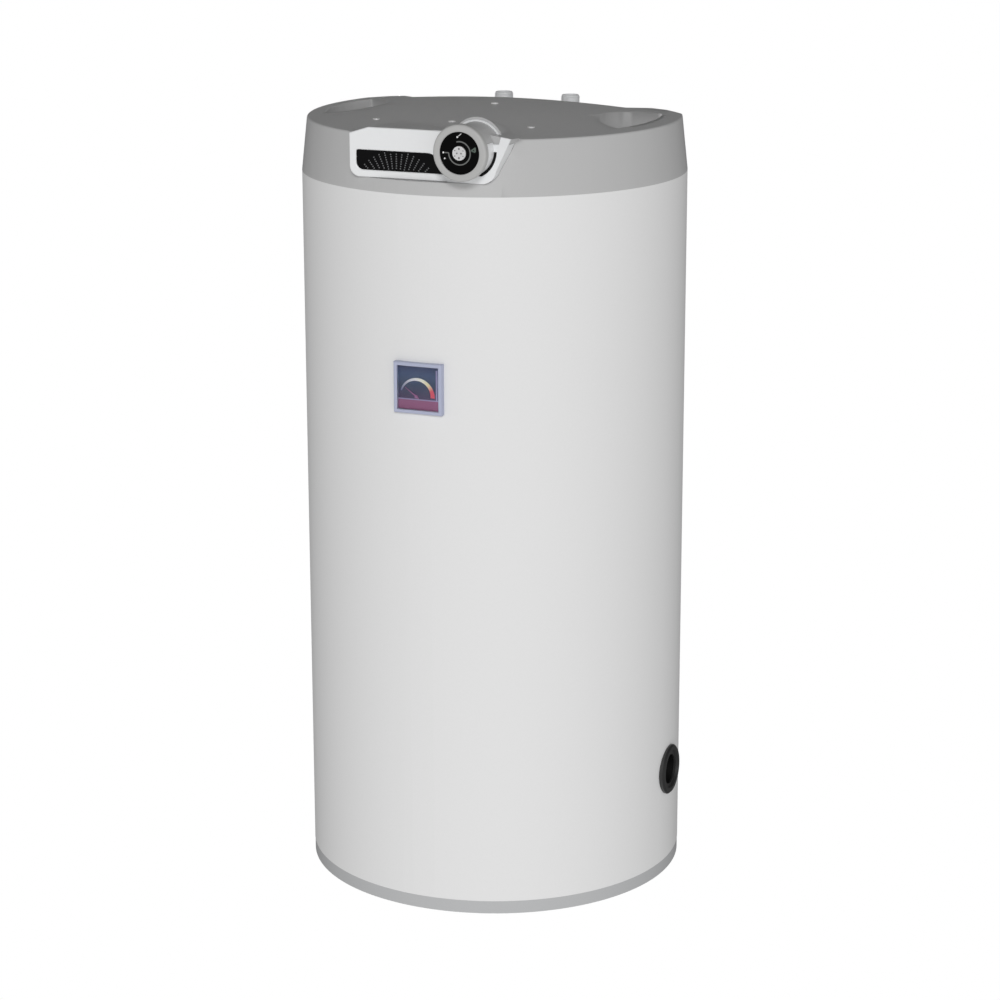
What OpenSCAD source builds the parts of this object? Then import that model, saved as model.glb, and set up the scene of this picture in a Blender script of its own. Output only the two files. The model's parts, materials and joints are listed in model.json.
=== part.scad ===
// Floor-standing tank water heater with a coil, a top control knob and a thermometer.
// Origin at the centre of the base on the floor, +Z up, front towards -Y.

/* [Jacket and base] */
// Outer diameter of the steel jacket
jacket_d = 524; // [430:1:640]
// Height of the jacket between the base ring and the cap
jacket_h = 965.2; // [780:0.1:1200]
// Thickness of the jacket sheet
jacket_wall = 0.8; // [0.5:0.1:1.5]
// Height of the base trim ring
base_h = 18.2; // [12:0.1:30]
// How far the base ring stands inside the jacket
base_inset = 0.4; // [0.2:0.1:0.7]
// Thickness of the base plate
base_plate_t = 3; // [2:0.5:5]
// Side of the square support legs
leg_w = 40; // [25:1:60]

/* [Tank and insulation] */
// Insulation between the jacket and the tank
foam_t = 41; // [25:1:60]
// Insulation over the tank's highest point
foam_over = 14; // [10:1:30]
// Insulation under the tank's lowest point
foam_under = 16; // [8:1:30]
// Wall of the steel tank
tank_wall = 3; // [2:0.5:5]
// Rise of each domed end
dome_h = 75; // [50:1:100]

/* [Pipes and coil] */
// Outer diameter of the steel pipes
pipe_d = 26.9; // [18:0.1:34]
// Outer diameter of the male thread on each pipe end
thread_d = 26.4; // [17:0.1:33]
// Length of the male thread
thread_l = 18; // [12:0.5:25]
// Wall of the pipes and of the coil
pipe_wall = 3; // [2:0.1:4]
// Distance between the hot and cold pipes
pipe_gap = 100; // [80:1:120]
// Distance between the coil's two pipes
coil_pipe_gap = 220; // [190:1:240]
// Height of the hot and cold pipe ends over the cap's rim
pipe_rise = 9.7; // [0:0.1:40]
// Depth of the coil's pipe ends under the cap's rim
coil_pipe_drop = 12; // [0:0.1:15]
// Turns of the coil
coil_turns = 8; // [4:1:10]
// Rise of one turn of the coil
coil_pitch = 48; // [36:1:60]

/* [Service flange] */
// Outer radius of the service flange
flange_r = 80; // [66:1:100]
// Radius of the opening under the flange
flange_bore_r = 55; // [46:1:60]
// Number of flange bolts
flange_bolt_count = 8; // [6:1:12]
// Thickness of the flange's cover
flange_cover_t = 8; // [5:1:12]
// Radius of the anode rod
anode_r = 11; // [8:0.5:16]
// Length of the anode rod
anode_l = 400; // [200:10:500]

/* [Cap] */
// Height of the cap's side
cap_h = 72.9; // [62:0.1:95]
// How much the cap's side leans in towards the rim
cap_taper = 7.7; // [4:0.1:12]
// Rise of the cap's crown over its rim
cap_crown = 13.3; // [8:0.1:20]
// Wall of the cap
cap_wall = 3; // [2:0.1:4]
// Radius of the round on the cap's rim
rim_round = 3; // [2:0.5:4]
// Width of the rim outside the hand grips
grip_rim = 27.3; // [20:0.1:40]
// Radius of the hand grips' inner curve
grip_r = 85; // [70:1:95]
// Depth of the hand grips under the rim
grip_depth = 34; // [20:1:40]
// Depth of the rear pipe bay under the rim
bay_depth = 35; // [25:1:45]

/* [Control panel] */
// Distance of the knob from the middle of the cap
knob_x = 68; // [55:1:80]
// How far the knob's centre is under the cap's rim
knob_drop = 12.3; // [8:0.1:18]
// Radius of the knob
knob_r = 36.5; // [32:0.5:40]
// Radius of the knob's dark dial
dial_r = 27; // [20:0.5:29]
// How far the knob stands in front of the panel
knob_reach = 35; // [24:1:40]
// Radius of the collar behind the knob
collar_r = 33; // [31:0.5:36]
// Width of the panel to the left of the cap's middle
panel_left = 101; // [80:1:110]
// Thickness of the panel and its skirt
panel_t = 3; // [2:0.5:4]
// How far the panel is set into the cap's front
panel_recess = 6; // [3:0.5:9]

/* [Thermometer] */
// Side of the square thermometer
gauge_w = 68; // [56:1:90]
// Width of its frame
gauge_border = 5; // [4:0.5:11]
// How far it stands in front of the jacket
gauge_t = 7; // [6:0.5:10]
// Depth of its centre under the cap's seam
gauge_drop = 252.4; // [180:0.1:400]

/* [Side port] */
// Height of the side port over the floor
port_z = 148.5; // [146:0.5:200]
// Inner radius of the port's socket
port_r = 22.5; // [15:0.5:24]
// Outer radius of the port's rosette
rosette_r = 35; // [32:0.5:45]

/* [Hidden] */

$fn = 240;
// Play between a turning shaft and its bore, and between pieces that only pass each other.
run_gap = 0.05;
pass_gap = 0.3;

// Jacket, base and insulation
jacket_r = jacket_d / 2;
jacket_ri = jacket_r - jacket_wall;
cap_z = base_h + jacket_h;
base_r = jacket_r - base_inset;
base_ring_w = 6;
base_lip_h = 8;
foam_z = base_h + base_lip_h;
foam_top = cap_z - 17.4;

// Tank
tank_r = jacket_ri - foam_t;
tank_z = foam_z + foam_under;
tank_top = foam_top - foam_over;
barrel_z = tank_z + dome_h;
barrel_top = tank_top - dome_h;
dome_r = (tank_r * tank_r + dome_h * dome_h) / (2 * dome_h);
leg_at = tank_r * 0.7;

// Pipes and coil
pipe_r = pipe_d / 2;
pipe_circle = tank_r - 55.4;
pipe_x = pipe_gap / 2;
pipe_y = sqrt(pipe_circle * pipe_circle - pipe_x * pipe_x);
coil_pipe_circle = tank_r - tank_wall - pipe_r - 21.5;
coil_pipe_x = coil_pipe_gap / 2;
coil_pipe_y = sqrt(coil_pipe_circle * coil_pipe_circle - coil_pipe_x * coil_pipe_x);
pipe_in = barrel_top + 8;
coil_pipe_in = barrel_top - 17;
dip_r = pipe_r - pipe_wall;
dip_wall = 2;
coil_r = pipe_circle - dip_r - pipe_r - 16;
coil_z = barrel_z + 58;
bend_r = 45;
bend_turn = bend_r / coil_pipe_circle * 180 / PI;
flow_turn = atan2(coil_pipe_y, -coil_pipe_x);
return_turn = atan2(coil_pipe_y, coil_pipe_x);
coil_sweep = 360 * (coil_turns + 1) + return_turn - flow_turn - 180 - 2 * bend_turn;
coil_top = coil_z + coil_pitch / 360 * (coil_sweep + 180);

// Service flange
gasket_t = 3;
bolt_r = 4;
bolt_circle = (flange_r + flange_bore_r) / 2;
cover_z = foam_top + gasket_t;
cover_top = cover_z + flange_cover_t;
plug_r = anode_r + 4;
plug_h = 12;
well_r = 6;
well_ri = 4.5;
well_x = 36;
well_l = 290;
bulb_l = 100;

// Cap
rim_z = cap_z + cap_h;
rim_r = jacket_r - cap_taper;
crown_r = rim_r - rim_round;
crown_power = 1.3;
front_r = jacket_r - cap_taper * 0.65;
cup_outer = rim_r - grip_rim;
cup_x = cup_outer + 18;
cup_y = -13;
cup_z = rim_z - grip_depth;
bay_z = rim_z - bay_depth;
bay_y = pipe_y - 73;
bay_half = coil_pipe_x + 48;
bay_wall = cap_wall * 1.25;
ear_step = 26;
ear_y = bay_y + 31;
ear_end = rim_r - 48;
boss_r = 8;
post_r = 6;
screw_r = 2.6;
screw_head_r = 5;
front_screw_y = 106.3 - rim_r;
side_screw_y = 109.3 - rim_r;
screw_spots = [[0, 0], [0, front_screw_y], [-110, side_screw_y], [110, side_screw_y]];
centre_post_z = cover_top + plug_h;

// Control panel: the panel's front lies in the plane y = panel_y
panel_y = panel_recess - front_r;
panel_back = panel_y + panel_t;
panel_bottom = rim_z - 55.3;
panel_top = rim_z + 9.7;
panel_corner = 14;
panel_end_r = 20;
panel_end_x = knob_x + 16;
panel_end_turn = 12;
panel_tip = [knob_x + 56, rim_z + 3.7];
cheek = [[knob_x + 7, 0], [knob_x + 7, 30], [knob_x + 48, 30], [knob_x + 40, 0]];
panel_slope = [27, 8.5];
panel_seam = rim_z - 4.3;
skirt_back = panel_y + 23;
knob_z = rim_z - knob_drop;
knob_front = panel_y - knob_reach;
knob_t = 9.7;
knob_back = knob_front + knob_t;
collar_front = knob_back + 1;
collar_wall = 3;
collar_ri = collar_r - collar_wall;
collar_seam = rim_z - 1.3;
hood_y = panel_y + 25.5;
hood_r = collar_r + 4.5;
hood_tilt = 14;
hood_l = 120;
brow_l = 80;
brow_tilt = 3.5;
trim_t = 3;
trim_w = 2.6;
spindle_r = 3;
spindle_gap = 1;
bracket_y = panel_y + 11;
bracket_t = 1.5;
bracket_back = bracket_y + bracket_t;
bush_r = 5;
stat_gap = 3.13;
stat_w = (collar_ri - stat_gap) * sqrt(2);
stat_l = 32;
stat_back = bracket_back + stat_l;
bracket_screw_x = collar_ri - 6;
bracket_screw_z = 4;
groove_r = collar_r + 4;
window_top = knob_z - 1.2;
window_left = panel_left - 10;
window_z = panel_bottom + 9.7;
window_h = 25.5;
window_front = panel_y + 0.8;
window_lip = 2;
window_lip_t = 1.5;

// Thermometer: its front lies in the plane y = gauge_y
gauge_y = -jacket_r - gauge_t;
gauge_z = cap_z - gauge_drop;
gauge_in = gauge_w - 2 * gauge_border;
gauge_floor = -jacket_r - 1.8;
face_t = 0.8;
face_front = gauge_floor - face_t;
lens_t = 1;
lens_front = gauge_y + 0.8;
needle_x = -2.5;
needle_z = gauge_z - 11.3;
needle_l = 20;
needle_turn = 144;
needle_y = face_front - 1.2;
needle_shaft_r = 0.8;
movement_r = 17;
movement_back = 18 - jacket_r;
stem_r = 4;
pocket_r = 6;
pocket_in = tank_r - 72;

// Side port
socket_r = port_r + 5.5;
socket_end = jacket_r - 3;
rosette_t = 5;

// Cable gland and wiring
gland_x = -100;
gland_z = rim_z - 16;
gland_r = 8;
block_at = [-flange_r - 34, 25];
loom_r = 3;
stub_l = 10;

// A box between two corners.
module box(low, high) { translate(low) cube(high - low); }

// A round bar along Y or along X.
module bar_y(x, z, r, y0, y1) { translate([x, y1, z]) rotate([90, 0, 0]) cylinder(h = y1 - y0, r = r); }
module bar_x(y, z, r, x0, x1) { translate([x0, y, z]) rotate([0, 90, 0]) cylinder(h = x1 - x0, r = r); }
module pin(x, y, r, z0, z1) { translate([x, y, z0]) cylinder(h = z1 - z0, r = r); }

// A flat outline in the XZ plane, thickened from y0 to y1.
module slab_y(y0, y1) { translate([0, y1, 0]) rotate([90, 0, 0]) linear_extrude(y1 - y0) children(); }

// A six-sided head, r across its corners, standing on z.
module hex(x, y, r, z0, z1) { translate([x, y, z0]) cylinder(h = z1 - z0, r = r, $fn = 6); }
module hex_y(x, z, r, y0, y1) {
    translate([x, y1, z]) rotate([90, 0, 0]) cylinder(h = y1 - y0, r = r, $fn = 6);
}

module both_sides() { for (s = [0, 1]) mirror([s, 0, 0]) children(); }

// Points on an arc of n steps.
function arc(cx, cy, r, a0, a1, n) =
    [for (i = [0:n]) let (a = a0 + (a1 - a0) * i / n) [cx + r * cos(a), cy + r * sin(a)]];

// A tube swept along points, with frames that don't twist.
function unit(v) = v / norm(v);
function heading(p, i) = unit(p[min(i + 1, len(p) - 1)] - p[max(i - 1, 0)]);
function flat_to(v, t) = unit(v - (v * t) * t);
function sides_of(p, v, i = 0) =
    i == len(p) ? [] : let (n = flat_to(v, heading(p, i))) concat([n], sides_of(p, n, i + 1));
function rings(p, n, r, k) =
    [for (i = [0:len(p) - 1]) let (t = heading(p, i), b = cross(t, n[i]))
        for (j = [0:k - 1]) p[i] + r * (cos(360 * j / k) * n[i] + sin(360 * j / k) * b)];
function walls(m, k, at, flip) =
    [for (i = [0:m - 2]) for (j = [0:k - 1])
        let (a = at + i * k + j, b = at + i * k + (j + 1) % k)
            for (f = [[a, a + k, b + k], [a, b + k, b]]) flip ? [f[2], f[1], f[0]] : f];
function rims(m, k, at) =
    [for (j = [0:k - 1]) let (a = j, b = (j + 1) % k, e = (m - 1) * k)
        for (f = [[a, b, at + b], [a, at + b, at + a],
                  [e + b, e + a, at + e + a], [e + b, at + e + a, at + e + b]]) f];
module swept_tube(p, v, r, ri, k) {
    n = sides_of(p, v);
    m = len(p);
    polyhedron(concat(rings(p, n, r, k), rings(p, n, ri, k)),
        concat(walls(m, k, 0, false), walls(m, k, m * k, true), rims(m, k, m * k)));
}
module swept_rod(p, v, r, k) {
    m = len(p);
    polyhedron(rings(p, sides_of(p, v), r, k),
        concat(walls(m, k, 0, false), [[for (j = [0:k - 1]) j]],
            [[for (j = [k - 1:-1:0]) (m - 1) * k + j]]));
}
function bezier(a, b, c, d, n) =
    [for (i = [0:n]) let (t = i / n, s = 1 - t)
        s * s * s * a + 3 * s * s * t * b + 3 * s * t * t * c + t * t * t * d];

// ---- jacket, base and insulation ----

module outer_jacket() {
    color([0.90, 0.90, 0.90]) difference() {
        pin(0, 0, jacket_r, base_h, cap_z);
        pin(0, 0, jacket_ri, base_h - 1, cap_z + 1);
        bar_y(needle_x, needle_z, movement_r, -jacket_r - 5, 0);
        bar_x(0, port_z, socket_r, 0, jacket_r + 5);
    }
}

// What lies inside the jacket's outer face, cut finely for the pieces that sit on it.
module jacket_core(z0, z1) { translate([0, 0, z0]) cylinder(h = z1 - z0, r = jacket_r, $fn = 720); }

// A strip that follows the jacket from turn a0 to a1.
module jacket_patch(a0, a1, z0, z1, t) {
    rotate([0, 0, a0]) rotate_extrude(angle = a1 - a0) translate([jacket_r, z0]) square([t, z1 - z0]);
}
module jacket_seam_strip() { color([0.86, 0.86, 0.86]) jacket_patch(87.4, 92.6, base_h, cap_z, 1.5); }
module rating_plate() { color([0.80, 0.80, 0.81]) jacket_patch(103, 125, cap_z - 190, cap_z - 110, 0.4); }

module base_trim_ring() {
    color([0.70, 0.71, 0.72]) difference() {
        union() {
            pin(0, 0, base_r, 0, base_h);
            pin(0, 0, jacket_ri, base_h - 1, foam_z);
        }
        pin(0, 0, base_r - base_ring_w, -1, foam_z + 1);
    }
}

module base_plate() { color([0.60, 0.61, 0.62]) pin(0, 0, base_r - base_ring_w, 0, base_plate_t); }

module legs(w, z0) {
    for (a = [90, 210, 330]) rotate([0, 0, a])
        box([leg_at - w / 2, -w / 2, z0], [leg_at + w / 2, w / 2, barrel_z]);
}
module support_legs() {
    color([0.25, 0.27, 0.30]) difference() {
        legs(leg_w, base_plate_t);
        legs(leg_w - 6, base_plate_t - 1);
        bottom_ball(dome_r);
    }
}

module top_ball(r) { translate([0, 0, tank_top - dome_r]) sphere(r = r); }
module bottom_ball(r) { translate([0, 0, tank_z + dome_r]) sphere(r = r); }

module insulation_foam() {
    color([0.93, 0.88, 0.72]) difference() {
        pin(0, 0, jacket_ri, foam_z, foam_top);
        pin(0, 0, tank_r, barrel_z, barrel_top);
        intersection() { top_ball(dome_r); pin(0, 0, tank_r + 1, barrel_top, tank_top + 1); }
        intersection() { bottom_ball(dome_r); pin(0, 0, tank_r + 1, tank_z - 1, barrel_z); }
        pin(0, 0, flange_r, barrel_top, foam_top + 1);
        pipe_places() pin(0, 0, pipe_r, barrel_top, foam_top + 1);
        difference() { legs(leg_w, foam_z - 1); bottom_ball(dome_r - 1); }
        bar_x(0, port_z, socket_r, tank_r - 10, jacket_r);
        bar_y(needle_x, needle_z, movement_r, -jacket_r, movement_back);
        bar_y(needle_x, needle_z, pocket_r, -jacket_r, -tank_r + 10);
    }
}

// ---- tank and coil ----

module tank_barrel() {
    color([0.35, 0.38, 0.42]) difference() {
        pin(0, 0, tank_r, barrel_z, barrel_top);
        pin(0, 0, tank_r - tank_wall, barrel_z - 1, barrel_top + 1);
        bar_x(0, port_z, port_r, 0, tank_r + 5);
        bar_y(needle_x, needle_z, pocket_r, -tank_r - 5, 0);
    }
}

module tank_top_dome() {
    color([0.35, 0.38, 0.42]) difference() {
        intersection() { top_ball(dome_r); pin(0, 0, tank_r + 5, barrel_top, tank_top + 1); }
        top_ball(dome_r - tank_wall);
        pin(0, 0, flange_bore_r, barrel_top, tank_top + 1);
        pipe_places() pin(0, 0, pipe_r, barrel_top - 1, tank_top + 1);
    }
}

module tank_bottom_dome() {
    color([0.35, 0.38, 0.42]) difference() {
        intersection() { bottom_ball(dome_r); pin(0, 0, tank_r + 5, tank_z - 1, barrel_z); }
        bottom_ball(dome_r - tank_wall);
    }
}

function polar(r, a, z) = [r * cos(a), r * sin(a), z];
function coil_path() =
    let (top_z = coil_top, step = 24, n = ceil(coil_sweep / step),
        drop = coil_pitch / 360, a1 = flow_turn + bend_turn, a2 = a1 + 90, a3 = a2 + coil_sweep)
    concat(
        [polar(coil_pipe_circle, flow_turn, coil_pipe_in)],
        [for (b = [0:22.5:67.5]) polar(coil_pipe_circle, flow_turn + bend_turn * (1 - cos(b)),
            top_z + bend_r * (1 - sin(b)))],
        [for (i = [0:4]) let (t = i / 5, inward = t * t * (3 - 2 * t))
            polar(coil_pipe_circle - (coil_pipe_circle - coil_r) * inward, a1 + 90 * t,
                top_z - drop * 90 * t)],
        [for (i = [0:n]) let (a = coil_sweep * i / n)
            polar(coil_r, a2 + a, top_z - drop * (90 + a))],
        [for (i = [1:5]) let (t = i / 5, outward = t * t * (3 - 2 * t))
            polar(coil_r + (coil_pipe_circle - coil_r) * outward, a3 + 90 * t,
                coil_z + drop * 90 * (1 - t))],
        [for (b = [22.5:22.5:90]) polar(coil_pipe_circle, a3 + 90 + bend_turn * sin(b),
            coil_z + bend_r * (1 - cos(b)))],
        [polar(coil_pipe_circle, return_turn, coil_pipe_in)]);
module heating_coil() {
    color([0.35, 0.38, 0.42])
        swept_tube(coil_path(), polar(1, flow_turn, 0), pipe_r, pipe_r - pipe_wall, 8);
}

// The four pipe places: hot and cold, then the coil's two.
module pipe_places() {
    for (s = [-1, 1]) {
        translate([s * pipe_x, pipe_y, 0]) children();
        translate([s * coil_pipe_x, coil_pipe_y, 0]) children();
    }
}
module pipe(x, y, z0, z1) {
    color([0.80, 0.81, 0.82]) difference() {
        union() {
            pin(x, y, pipe_r, z0, z1 - thread_l);
            pin(x, y, thread_d / 2, z1 - thread_l - 1, z1);
        }
        pin(x, y, pipe_r - pipe_wall, z0 - 1, z1 + 1);
    }
}
module hot_outlet_pipe() { pipe(-pipe_x, pipe_y, pipe_in, rim_z + pipe_rise); }
module cold_inlet_pipe() { pipe(pipe_x, pipe_y, pipe_in, rim_z + pipe_rise); }
module coil_flow_pipe() { pipe(-coil_pipe_x, coil_pipe_y, coil_pipe_in, rim_z - coil_pipe_drop); }
module coil_return_pipe() { pipe(coil_pipe_x, coil_pipe_y, coil_pipe_in, rim_z - coil_pipe_drop); }

module dip_tube() {
    color([0.92, 0.92, 0.90]) difference() {
        pin(pipe_x, pipe_y, dip_r, barrel_z + 4, foam_top);
        pin(pipe_x, pipe_y, dip_r - dip_wall, barrel_z, foam_top + 1);
    }
}

module pipe_grommets() {
    color([0.12, 0.12, 0.12]) pipe_places() difference() {
        union() {
            pin(0, 0, pipe_r + 3, bay_z - cap_wall, bay_z + 1);
            pin(0, 0, pipe_r + 6, bay_z, bay_z + 2);
        }
        pin(0, 0, pipe_r, bay_z - cap_wall - 1, bay_z + 3);
    }
}

// ---- service flange ----

module bolt_places() {
    for (i = [0:flange_bolt_count - 1]) rotate([0, 0, (i + 0.5) * 360 / flange_bolt_count])
        translate([bolt_circle, 0, 0]) children();
}

module flange_ring() {
    color([0.35, 0.38, 0.42]) difference() {
        pin(0, 0, flange_r, barrel_top, foam_top);
        top_ball(dome_r);
        pin(0, 0, flange_bore_r, barrel_top, foam_top + 1);
        bolt_places() pin(0, 0, bolt_r, foam_top - 12, foam_top + 1);
    }
}

module flange_gasket() {
    color([0.10, 0.10, 0.10]) difference() {
        pin(0, 0, flange_r, foam_top, cover_z);
        pin(0, 0, flange_bore_r, foam_top - 1, cover_z + 1);
        bolt_places() pin(0, 0, bolt_r + 0.5, foam_top - 1, cover_z + 1);
    }
}

module flange_cover() {
    color([0.55, 0.57, 0.60]) difference() {
        pin(0, 0, flange_r, cover_z, cover_top);
        bolt_places() pin(0, 0, bolt_r + 0.5, cover_z - 1, cover_top + 1);
        pin(0, 0, plug_r, cover_z - 1, cover_top + 1);
        pin(well_x, 0, well_r, cover_z - 1, cover_top + 1);
    }
}

module flange_bolts() {
    color([0.75, 0.75, 0.72]) bolt_places() {
        pin(0, 0, bolt_r, foam_top - 12, cover_top);
        hex(0, 0, bolt_r * 1.85, cover_top, cover_top + bolt_r * 1.35);
    }
}

module anode_plug() {
    color([0.78, 0.62, 0.30]) {
        pin(0, 0, plug_r, cover_z, cover_top);
        hex(0, 0, plug_r + 5, cover_top, cover_top + plug_h);
    }
}

module anode_rod() { color([0.70, 0.72, 0.74]) pin(0, 0, anode_r, cover_z - anode_l, cover_z); }

module sensor_well() {
    color([0.72, 0.55, 0.38]) difference() {
        union() {
            pin(well_x, 0, well_r, cover_top - well_l, cover_top + 4);
            pin(well_x, 0, well_r + 3, cover_top, cover_top + 4);
        }
        pin(well_x, 0, well_ri, cover_top - well_l + 3, cover_top + 5);
    }
}

// ---- thermostat and wiring ----

module thermostat_sensor() {
    bulb_top = cover_top - well_l + 8 + bulb_l;
    route = concat([[well_x, 0, bulb_top]],
        bezier([well_x, 0, cover_top + 8], [well_x, 0, cover_top + 60],
            [knob_x - 8, stat_back + 110, knob_z - 12], [knob_x - 8, stat_back + stub_l, knob_z - 8], 14),
        [[knob_x - 8, stat_back, knob_z - 8]]);
    color([0.75, 0.45, 0.30]) {
        pin(well_x, 0, well_ri, bulb_top - bulb_l, bulb_top);
        swept_rod(route, [1, 0, 0], 1.2, 8);
    }
}

module thermostat_body() {
    color([0.85, 0.84, 0.78]) difference() {
        union() {
            box([knob_x - stat_w / 2, bracket_back, knob_z - stat_w / 2],
                [knob_x + stat_w / 2, stat_back, knob_z + stat_w / 2]);
            bar_y(knob_x, knob_z, bush_r, panel_back + 2, bracket_back + 1);
        }
        bar_y(knob_x, knob_z, spindle_r + run_gap, panel_y, bracket_back + 14);
    }
}

module thermostat_bracket() {
    color([0.66, 0.67, 0.68]) difference() {
        bar_y(knob_x, knob_z, collar_ri - 0.5, bracket_y, bracket_back);
        bar_y(knob_x, knob_z, bush_r, bracket_y - 1, bracket_back + 1);
        bracket_screw_places(1.6, bracket_y - 1, bracket_back + 1);
    }
}
module bracket_screw_places(r, y0, y1) {
    for (s = [-1, 1]) bar_y(knob_x + s * bracket_screw_x, knob_z + bracket_screw_z, r, y0, y1);
}

module thermostat_nut() {
    color([0.78, 0.66, 0.35]) difference() {
        hex_y(knob_x, knob_z, bush_r + 4, bracket_y - 3, bracket_y);
        bar_y(knob_x, knob_z, bush_r, bracket_y - 4, bracket_y + 1);
    }
}

module bracket_screws() {
    color([0.72, 0.72, 0.72]) {
        bracket_screw_places(1.5, panel_back + 2, bracket_back);
        bracket_screw_places(2.8, bracket_back, bracket_back + 2);
    }
}

module knob_spindle() {
    color([0.70, 0.70, 0.70]) bar_y(knob_x, knob_z, spindle_r, knob_back - 2, bracket_back + 12);
}

module terminal_block() {
    color([0.90, 0.88, 0.80]) difference() {
        translate([block_at[0] - 28, block_at[1] - 11, foam_top]) cube([56, 22, 20]);
        for (i = [-1.5:1:1.5]) pin(block_at[0] + i * 13, block_at[1], 2.5, foam_top + 10, foam_top + 21);
    }
}

module wiring_loom() {
    block_end = [block_at[0] + 8, block_at[1] - 11, foam_top + 12];
    stat_end = [knob_x + 10, stat_back, knob_z - 10];
    color([0.20, 0.20, 0.22])
        swept_rod(concat([block_end],
            bezier(block_end + [0, -stub_l, 0], block_end + [0, -70, 0], stat_end + [-20, 90, -50],
                stat_end + [0, stub_l, 0], 16), [stat_end]), [0, 0, 1], loom_r, 8);
}

module cable_gland() {
    color([0.15, 0.15, 0.16]) difference() {
        union() {
            bar_y(gland_x, gland_z, gland_r, bay_y - 14, bay_y + 1);
            hex_y(gland_x, gland_z, gland_r + 4, bay_y, bay_y + 6);
            bar_y(gland_x, gland_z, gland_r + 1.5, bay_y + 5, bay_y + 16);
        }
        bar_y(gland_x, gland_z, 4.5, bay_y - 15, bay_y + 17);
    }
}
module gland_nut() {
    color([0.15, 0.15, 0.16]) difference() {
        hex_y(gland_x, gland_z, gland_r + 4.5, bay_y - bay_wall - 5, bay_y - bay_wall);
        bar_y(gland_x, gland_z, gland_r, bay_y - bay_wall - 6, bay_y);
    }
}

// ---- cap ----

// Height of the cap's top at radius r, and the half outline of the cap inset by g.
function crown_z(r) = rim_z + cap_crown * pow(max(0, 1 - pow(r / crown_r, 2)), crown_power);
function cap_outline(g) = concat(
    [[0, cap_z - 2 * g], [jacket_r - g, cap_z - 2 * g], [jacket_r - g, cap_z]],
    [for (p = arc(crown_r, rim_z - rim_round, rim_round - g * 0.9, 6, 90, 5))
        [p[0] - g * 0.1, p[1] - g * 0.1]],
    [for (i = [15:-1:0]) [crown_r * i / 16, crown_z(crown_r * i / 16) - g]]);
module cap_solid(g) { rotate_extrude() polygon(cap_outline(g)); }

// Plan of the rear pipe bay, from its front wall to behind the cap.
module bay_plan(shift) {
    half = [[bay_half, bay_y], [bay_half + ear_step, ear_y], [ear_end, ear_y],
        [jacket_r + 60, ear_y - (jacket_r + 60 - ear_end) * 0.72]];
    behind = jacket_r + 60;
    translate([0, -shift]) polygon(concat(half, [[behind, behind], [-behind, behind]],
        [for (i = [3:-1:0]) [-half[i][0], half[i][1]]]));
}
module bay(shift, floor_z) {
    translate([0, 0, floor_z]) linear_extrude(rim_z + 40 - floor_z) bay_plan(shift);
}

// One hand grip on the +X side, grown by g.
module grip(g, floor_z) {
    intersection() {
        pin(0, 0, cup_outer + g, floor_z, rim_z + 40);
        pin(cup_x, cup_y, grip_r + g, floor_z, rim_z + 40);
    }
}

// Panel outline in the XZ plane, inset by g.
function panel_outline(g) = concat(
    arc(-panel_left + panel_corner, panel_bottom + panel_corner, panel_corner - g, 180, 270, 8),
    arc(panel_end_x, panel_bottom + panel_end_r, panel_end_r - g, 270, 360 - panel_end_turn, 8),
    [panel_tip - [g, g], [panel_end_x, panel_top - g],
        [-panel_left + panel_slope[0], panel_top - g], [-panel_left + g, panel_top - panel_slope[1] - g]]);

module below(z) { intersection() { children(); box([-400, -400, 0], [400, 400, z]); } }
module above(z) { intersection() { children(); box([-400, -400, z], [400, 400, rim_z + 100]); } }

// Raised parts of the cap around the panel: a brow behind it, a hood behind the knob and the
// upper half of the knob's collar. They are drawn once as solids and once as the hollow inside.
module brow(g) {
    translate([0, panel_back, panel_top]) rotate([-brow_tilt, 0, 0]) translate([0, -panel_back, -panel_top])
        above(rim_z - 30) slab_y(panel_back + g, panel_back + brow_l) polygon(panel_outline(0.6 + g));
}
module hood(r) {
    intersection() {
        translate([knob_x, hood_y, knob_z]) rotate([-90 - hood_tilt, 0, 0])
            translate([0, 0, -20]) cylinder(h = hood_l + 20, r = r);
        box([-200, hood_y, 0], [200, 0, rim_z + 80]);
    }
}
module raised_outside() {
    brow(0);
    hood(hood_r);
    above(collar_seam) bar_y(knob_x, knob_z, collar_r, collar_front, hood_y + 10);
}
module raised_inside() {
    brow(cap_wall);
    hood(hood_r - cap_wall);
    bar_y(knob_x, knob_z, collar_ri, collar_front - 1, hood_y + 12);
}

module screw_bosses(r, drop0, drop1) {
    for (p = screw_spots) pin(p[0], p[1], r, crown_z(norm(p)) - drop0, crown_z(norm(p) + boss_r) - drop1);
}

module panel_cut() {
    difference() {
        slab_y(panel_y - 60, panel_back) polygon(panel_outline(-pass_gap));
        above(collar_seam) bar_y(knob_x, knob_z, collar_r + 0.05, panel_y - 61, hood_y);
    }
    below(panel_seam + pass_gap) slab_y(panel_y - 60, skirt_back + 2) polygon(panel_outline(-pass_gap));
}

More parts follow.
